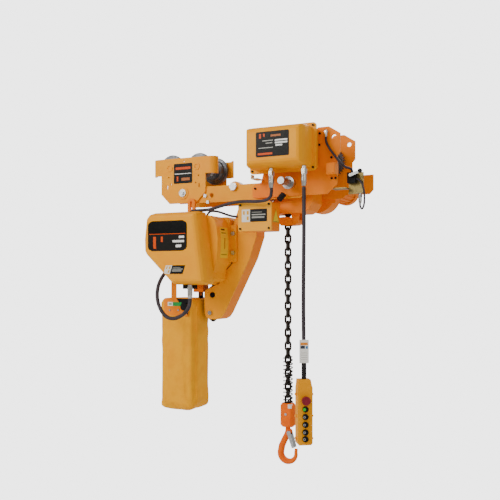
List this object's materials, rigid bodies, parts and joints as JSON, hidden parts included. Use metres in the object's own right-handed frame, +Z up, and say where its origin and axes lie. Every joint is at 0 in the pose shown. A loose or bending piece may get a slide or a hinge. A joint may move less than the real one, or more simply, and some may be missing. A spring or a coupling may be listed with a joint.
{
  "type": "motor trolley hoist",
  "caption": "Low-headroom chain hoist hung from an idler and a driven beam trolley, with chain bag, hook block and push-button pendant.",
  "frame": {"origin": "on the load line, at the running surface of the beam's lower flange", "axes": "+X along the beam, from the idler trolley to the driven one; -Y to the control side; +Z up"},
  "size_m": [1.0326, 0.668, 1.4824],
  "materials": {
    "yellow_paint": "semi-gloss enamel over castings and sheet",
    "orange_paint": "semi-gloss enamel over steel plate",
    "cast_wheel": "machined tread, as-cast web",
    "turned_steel": "turned",
    "zinc_steel": "bright zinc plate",
    "nickel_brass": "nickel plate",
    "chain_steel": "blackened and oiled",
    "spring_steel": "black oxide",
    "stator_copper": "varnished winding and laminations",
    "black_plastic": "moulded",
    "lid_paint": "semi-gloss enamel",
    "bag_cloth": "coated woven cloth",
    "cable_rubber": "matt sheath",
    "pendant_plastic": "moulded",
    "red_plastic": "moulded",
    "green_plastic": "moulded"
  },
  "bodies": {
    "frame": {"idler_plate_near": "yellow_paint", "idler_plate_far": "yellow_paint", "side_bars": "yellow_paint", "arm_frame": "yellow_paint", "gear_case": "yellow_paint", "front_cover": "yellow_paint", "motor_housing": "yellow_paint", "fan_cover": "yellow_paint", "control_box_base": "yellow_paint", "control_box_cover": "yellow_paint", "drive_plate_near": "orange_paint", "drive_plate_far": "orange_paint", "sheave_housing": "orange_paint", "arm_cover": "orange_paint", "brackets": "orange_paint", "junction_box": "orange_paint", "trolley_gearbox": "orange_paint", "trolley_motor": "orange_paint", "axles_and_shafts": "turned_steel", "sheave_pins": "turned_steel", "fasteners": "zinc_steel", "cable_glands": "nickel_brass", "chain_run": "chain_steel", "chain_fall": "chain_steel", "motor_stator": "stator_copper", "switchgear": "black_plastic", "limit_switch": "black_plastic", "junction_lid": "lid_paint", "chain_bag": "bag_cloth", "wiring": "cable_rubber"},
    "idler_wheel_near_left": {"idler_wheel_near_left": "cast_wheel"},
    "idler_wheel_near_right": {"idler_wheel_near_right": "cast_wheel"},
    "idler_wheel_far_left": {"idler_wheel_far_left": "cast_wheel"},
    "idler_wheel_far_right": {"idler_wheel_far_right": "cast_wheel"},
    "drive_wheel_near_left": {"drive_wheel_near_left": "cast_wheel"},
    "drive_wheel_near_right": {"drive_wheel_near_right": "cast_wheel"},
    "geared_wheel_left": {"geared_wheel_left": "cast_wheel"},
    "geared_wheel_right": {"geared_wheel_right": "cast_wheel"},
    "drive_pinion": {"drive_pinion": "turned_steel"},
    "upper_sheave": {"upper_sheave": "chain_steel"},
    "guide_sheave": {"guide_sheave": "chain_steel"},
    "lower_sheave": {"lower_sheave": "chain_steel"},
    "load_sheave": {"load_sheave": "chain_steel"},
    "counter_gear": {"counter_gear": "turned_steel"},
    "motor_rotor": {"motor_rotor": "turned_steel"},
    "hook_block": {"hook_block": "orange_paint", "buffer_spring": "spring_steel", "chain_tail": "chain_steel"},
    "hook": {"hook": "orange_paint"},
    "latch": {"hook_latch": "zinc_steel"},
    "limit_lever": {"limit_lever": "orange_paint"},
    "switch_lever": {"switch_lever": "turned_steel"},
    "pendant": {"pendant_case": "pendant_plastic", "pendant_cable": "cable_rubber"},
    "stop_button": {"stop_button": "red_plastic"},
    "start_button": {"start_button": "green_plastic"},
    "up_button": {"up_button": "black_plastic"},
    "down_button": {"down_button": "black_plastic"},
    "left_button": {"left_button": "black_plastic"},
    "right_button": {"right_button": "black_plastic"}
  },
  "joints": [
    {"name": "idler_near_left_spin", "type": "hinge", "parent": "frame", "child": "idler_wheel_near_left", "pos_m": [-0.5595, -0.06, 0.05], "axis": [0, 1, 0], "continuous": true},
    {"name": "idler_near_right_spin", "type": "hinge", "parent": "frame", "child": "idler_wheel_near_right", "pos_m": [-0.4125, -0.06, 0.05], "axis": [0, 1, 0], "continuous": true},
    {"name": "idler_far_left_spin", "type": "hinge", "parent": "frame", "child": "idler_wheel_far_left", "pos_m": [-0.5595, 0.06, 0.05], "axis": [0, 1, 0], "continuous": true},
    {"name": "idler_far_right_spin", "type": "hinge", "parent": "frame", "child": "idler_wheel_far_right", "pos_m": [-0.4125, 0.06, 0.05], "axis": [0, 1, 0], "continuous": true},
    {"name": "drive_near_left_spin", "type": "hinge", "parent": "frame", "child": "drive_wheel_near_left", "pos_m": [0.02079, -0.06, 0.05], "axis": [0, 1, 0], "continuous": true},
    {"name": "drive_near_right_spin", "type": "hinge", "parent": "frame", "child": "drive_wheel_near_right", "pos_m": [0.17321, -0.06, 0.05], "axis": [0, 1, 0], "continuous": true},
    {"name": "geared_left_spin", "type": "hinge", "parent": "frame", "child": "geared_wheel_left", "pos_m": [0.02079, 0.06, 0.05], "axis": [0, 1, 0], "continuous": true},
    {"name": "geared_right_spin", "type": "hinge", "parent": "frame", "child": "geared_wheel_right", "pos_m": [0.17321, 0.06, 0.05], "axis": [0, 1, 0], "continuous": true},
    {"name": "drive_pinion_spin", "type": "hinge", "parent": "frame", "child": "drive_pinion", "pos_m": [0.097, 0.09, 0.006], "axis": [0, 1, 0], "continuous": true},
    {"name": "hook_lift", "type": "slide", "parent": "frame", "child": "hook_block", "axis": [0, 0, 1], "range_m": [0, 0.48], "deforming": ["chain_fall"]},
    {"name": "upper_sheave_spin", "type": "hinge", "parent": "frame", "child": "upper_sheave", "pos_m": [-0.05, 0, -0.115], "axis": [0, 1, 0], "range_deg": [-551, 0]},
    {"name": "lower_sheave_spin", "type": "hinge", "parent": "frame", "child": "lower_sheave", "pos_m": [-0.374, 0, -0.627], "axis": [0, 1, 0], "range_deg": [0, 983.2]},
    {"name": "guide_sheave_spin", "type": "hinge", "parent": "frame", "child": "guide_sheave", "pos_m": [-0.362, 0, -0.544], "axis": [0, 1, 0], "range_deg": [0, 688.5]},
    {"name": "load_sheave_spin", "type": "hinge", "parent": "frame", "child": "load_sheave", "pos_m": [-0.348, 0, -0.38], "axis": [0, 1, 0], "range_deg": [-574, 0]},
    {"name": "counter_gear_spin", "type": "hinge", "parent": "frame", "child": "counter_gear", "pos_m": [-0.39996, 0, -0.35], "axis": [0, 1, 0], "range_deg": [0, 1719.9]},
    {"name": "motor_rotor_spin", "type": "hinge", "parent": "frame", "child": "motor_rotor", "pos_m": [-0.44759, 0, -0.3225], "axis": [0, 1, 0], "range_deg": [-4584.7, 0]},
    {"name": "hook_swivel", "type": "hinge", "parent": "hook_block", "child": "hook", "pos_m": [0, 0, -1.12], "axis": [0, 0, 1], "continuous": true},
    {"name": "latch_pivot", "type": "hinge", "parent": "hook", "child": "latch", "pos_m": [0.006, 0, -1.15], "axis": [0, 1, 0], "range_deg": [0, 18], "stiffness_Nm_per_rad": 0.15, "springref_deg": -22.92},
    {"name": "limit_lever_pivot", "type": "hinge", "parent": "frame", "child": "limit_lever", "pos_m": [0.05, 0, -0.212], "axis": [0, 1, 0], "range_deg": [0, 8], "stiffness_Nm_per_rad": 8, "springref_deg": -3.44},
    {"name": "switch_lever_pivot", "type": "hinge", "parent": "frame", "child": "switch_lever", "pos_m": [0.321, -0.095, -0.034], "axis": [0, 1, 0], "range_deg": [-25, 25], "stiffness_Nm_per_rad": 3},
    {"name": "pendant_swing", "type": "hinge", "parent": "frame", "child": "pendant", "pos_m": [0.169, -0.23, -0.088], "axis": [0, 1, 0], "range_deg": [-15, 15]},
    {"name": "stop_press", "type": "slide", "parent": "pendant", "child": "stop_button", "axis": [-0.5878, 0.809, 0], "range_m": [0, 0.005], "stiffness_N_per_m": 500, "springref_m": -0.002},
    {"name": "start_press", "type": "slide", "parent": "pendant", "child": "start_button", "axis": [-0.5878, 0.809, 0], "range_m": [0, 0.005], "stiffness_N_per_m": 500, "springref_m": -0.002},
    {"name": "up_press", "type": "slide", "parent": "pendant", "child": "up_button", "axis": [-0.5878, 0.809, 0], "range_m": [0, 0.005], "stiffness_N_per_m": 500, "springref_m": -0.002},
    {"name": "down_press", "type": "slide", "parent": "pendant", "child": "down_button", "axis": [-0.5878, 0.809, 0], "range_m": [0, 0.005], "stiffness_N_per_m": 500, "springref_m": -0.002},
    {"name": "left_press", "type": "slide", "parent": "pendant", "child": "left_button", "axis": [-0.5878, 0.809, 0], "range_m": [0, 0.005], "stiffness_N_per_m": 500, "springref_m": -0.002},
    {"name": "right_press", "type": "slide", "parent": "pendant", "child": "right_button", "axis": [-0.5878, 0.809, 0], "range_m": [0, 0.005], "stiffness_N_per_m": 500, "springref_m": -0.002}
  ],
  "couplings": [
    {"joint": "upper_sheave_spin", "follows": "hook_lift", "rad_per_m": -20},
    {"joint": "lower_sheave_spin", "follows": "hook_lift", "rad_per_m": 35.714},
    {"joint": "guide_sheave_spin", "follows": "hook_lift", "rad_per_m": 25},
    {"joint": "load_sheave_spin", "follows": "hook_lift", "rad_per_m": -20.833},
    {"joint": "counter_gear_spin", "follows": "hook_lift", "rad_per_m": 62.5},
    {"joint": "motor_rotor_spin", "follows": "hook_lift", "rad_per_m": -166.67},
    {"joint": "geared_right_spin", "follows": "geared_left_spin", "ratio": 1},
    {"joint": "drive_pinion_spin", "follows": "geared_left_spin", "ratio": -2.6667}
  ]
}
